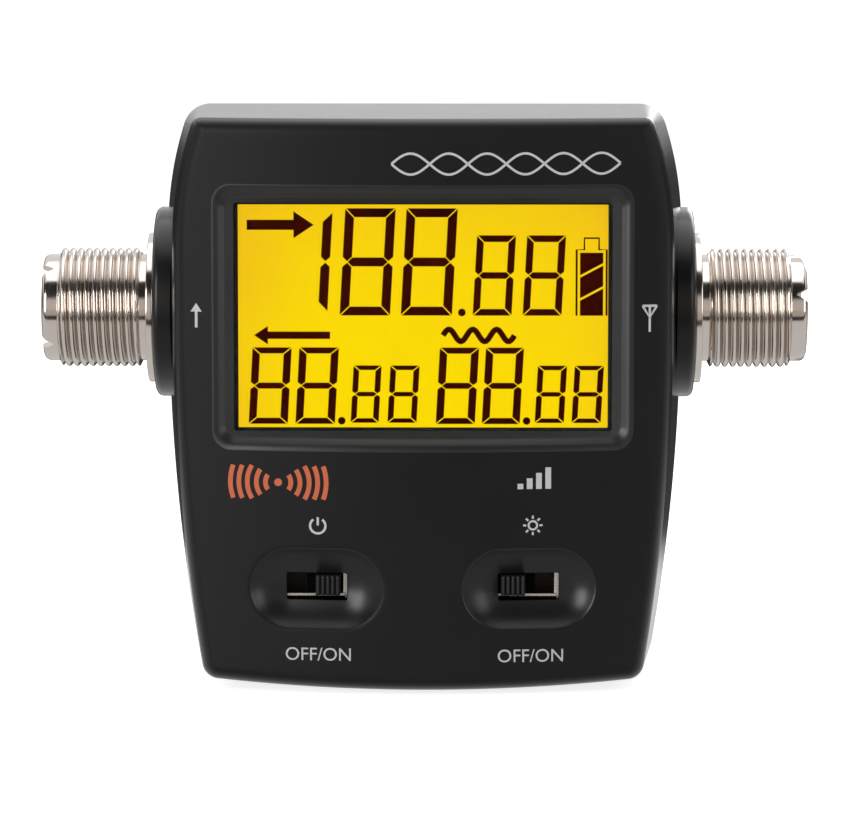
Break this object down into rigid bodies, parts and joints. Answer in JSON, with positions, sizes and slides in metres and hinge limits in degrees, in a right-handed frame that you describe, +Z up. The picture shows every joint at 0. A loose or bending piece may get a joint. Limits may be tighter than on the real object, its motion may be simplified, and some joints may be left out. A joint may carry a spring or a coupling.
{
  "type": "standing-wave and power meter",
  "caption": "Small upright radio meter in a bowed black case with an amber digital display, slide switches in finger dishes and a threaded coaxial socket on either side.",
  "frame": {"origin": "on the table, below the middle of the part's box", "axes": "+X from the transmitter socket to the antenna socket, -Y the display side, +Z up"},
  "size_m": [0.1018, 0.04, 0.0759],
  "materials": {
    "case_plastic": "fine satin texture, black",
    "door_plastic": "fine satin texture, black",
    "collar_plastic": "satin black",
    "foot_rubber": "matt black",
    "screw_steel": "zinc plated",
    "clear_window": "clear, polished",
    "amber_lcd": "amber yellow with dark segments",
    "holder_plastic": "black",
    "light_guide": "clear amber",
    "strip_rubber": "striped silicone",
    "green_board": "green solder mask",
    "switch_steel": "bright tin plate",
    "switch_base": "brown laminate",
    "knob_plastic": "semi-gloss black",
    "contact_brass": "bright",
    "tinplate": "tin plated sheet",
    "trimmer_plastic": "blue",
    "white_insulator": "white, waxy",
    "ferrite": "dark grey",
    "winding_wire": "enamelled copper",
    "nickel": "nickel plate, slightly satin",
    "cell_jacket": "printed jacket, green",
    "lead_sleeve": "red and black PVC"
  },
  "bodies": {
    "case": {"front_shell": "case_plastic", "rear_shell": "case_plastic", "case_screws": "screw_steel", "feet": "foot_rubber", "window_lens": "clear_window", "lcd_panel": "amber_lcd", "lcd_holder": "holder_plastic", "light_guide": "light_guide", "guide_lamps": "light_guide", "contact_strips": "strip_rubber", "main_board": "green_board", "controller_chip": "holder_plastic", "board_screws": "screw_steel", "power_switch_frame": "switch_steel", "power_switch_base": "switch_base", "lamp_switch_frame": "switch_steel", "lamp_switch_base": "switch_base", "sensor_box": "tinplate", "sensor_cover": "tinplate", "sensor_board": "green_board", "sensor_trimmers": "trimmer_plastic", "sensor_screws": "screw_steel", "link_header": "holder_plastic", "line_conductor": "contact_brass", "line_sleeve": "white_insulator", "current_core": "ferrite", "current_winding": "winding_wire", "voltage_core": "ferrite", "voltage_winding": "winding_wire", "tx_collar": "collar_plastic", "tx_socket": "nickel", "tx_insulator": "white_insulator", "tx_contact": "nickel", "tx_nut": "nickel", "antenna_collar": "collar_plastic", "antenna_socket": "nickel", "antenna_insulator": "white_insulator", "antenna_contact": "nickel", "antenna_nut": "nickel", "battery_cells": "cell_jacket", "battery_plates": "tinplate", "battery_springs": "tinplate", "battery_leads": "lead_sleeve"},
    "power_knob": {"power_slider": "knob_plastic", "power_contact": "contact_brass"},
    "lamp_knob": {"lamp_slider": "knob_plastic", "lamp_contact": "contact_brass"},
    "door": {"battery_door": "door_plastic"}
  },
  "joints": [
    {"name": "power_switch", "type": "slide", "parent": "case", "child": "power_knob", "axis": [1, 0, 0], "range_m": [-0.0035, 0]},
    {"name": "lamp_switch", "type": "slide", "parent": "case", "child": "lamp_knob", "axis": [1, 0, 0], "range_m": [0, 0.0035]},
    {"name": "battery_door_hinge", "type": "hinge", "parent": "case", "child": "door", "pos_m": [0, 0.0191, 0.0359], "axis": [1, 0, 0], "range_deg": [0, 70]}
  ]
}
